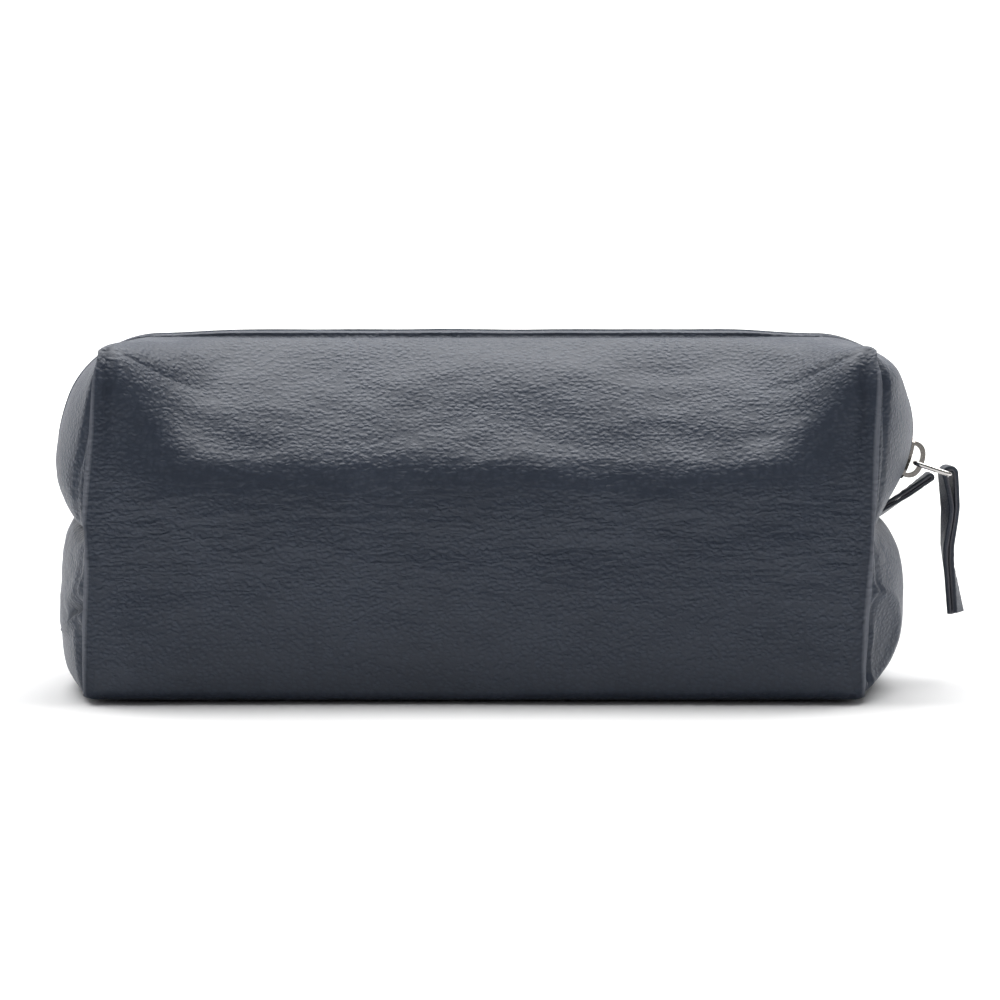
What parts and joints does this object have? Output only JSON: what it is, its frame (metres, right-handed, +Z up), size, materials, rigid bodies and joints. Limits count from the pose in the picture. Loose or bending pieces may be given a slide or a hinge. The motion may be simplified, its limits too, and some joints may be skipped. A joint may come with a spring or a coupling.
{
  "type": "shaving kit bag",
  "caption": "Soft box-shaped leather wash bag with a zip over the top and down both rounded, pinched ends, a ring pull with a leather strap, and an end tab.",
  "frame": {"origin": "middle of the base, on the surface that the bag stands on", "axes": "+X along the bag towards the closed end of the zip, -Y out of the front, +Z up"},
  "size_m": [0.3115, 0.114, 0.1211],
  "materials": {
    "leather": "soft pebbled grain, navy",
    "pull_leather": "two layers of smooth navy leather",
    "padding": "thin felted wadding",
    "board": "thin bag board",
    "lining": "plain woven lining",
    "zip_tape": "woven polyester tape",
    "nickel": "polished nickel",
    "thread": "twisted navy thread"
  },
  "bodies": {
    "bag": {"front_panel": "leather", "back_panel": "leather", "padding_front": "padding", "padding_back": "padding", "base_board": "board", "lining_front": "lining", "lining_back": "lining", "zip_tape_front": "zip_tape", "zip_tape_back": "zip_tape", "zip_teeth_front": "nickel", "zip_teeth_back": "nickel", "zip_top_stops": "nickel", "zip_bottom_stop": "nickel", "lip_stitches_front": "thread", "lip_stitches_back": "thread"},
    "slider": {"slider_body": "nickel", "slider_bail": "nickel"},
    "ring": {"pull_ring": "nickel"},
    "pull": {"pull_strap": "pull_leather", "pull_stitches": "thread"},
    "tab": {"end_tab": "pull_leather", "tab_stitches": "thread"}
  },
  "joints": [
    {"name": "zip_travel", "type": "hinge", "parent": "bag", "child": "slider", "pos_m": [0.115, 0, 0.088], "axis": [0, -1, 0], "range_deg": [0, 94], "deforming": ["zip_teeth_front", "zip_teeth_back"]},
    {"name": "ring_swing", "type": "hinge", "parent": "slider", "child": "ring", "pos_m": [0.14851, 0, 0.07613], "axis": [0, -1, 0], "range_deg": [0, 80]},
    {"name": "pull_swing", "type": "hinge", "parent": "ring", "child": "pull", "pos_m": [0.1604, 0, 0.07227], "axis": [0, -1, 0], "range_deg": [-3, 85]},
    {"name": "tab_flex", "type": "hinge", "parent": "bag", "child": "tab", "pos_m": [0.1325, 0, 0.0568], "axis": [0, -1, 0], "range_deg": [-8, 0], "stiffness_Nm_per_rad": 0.02}
  ]
}
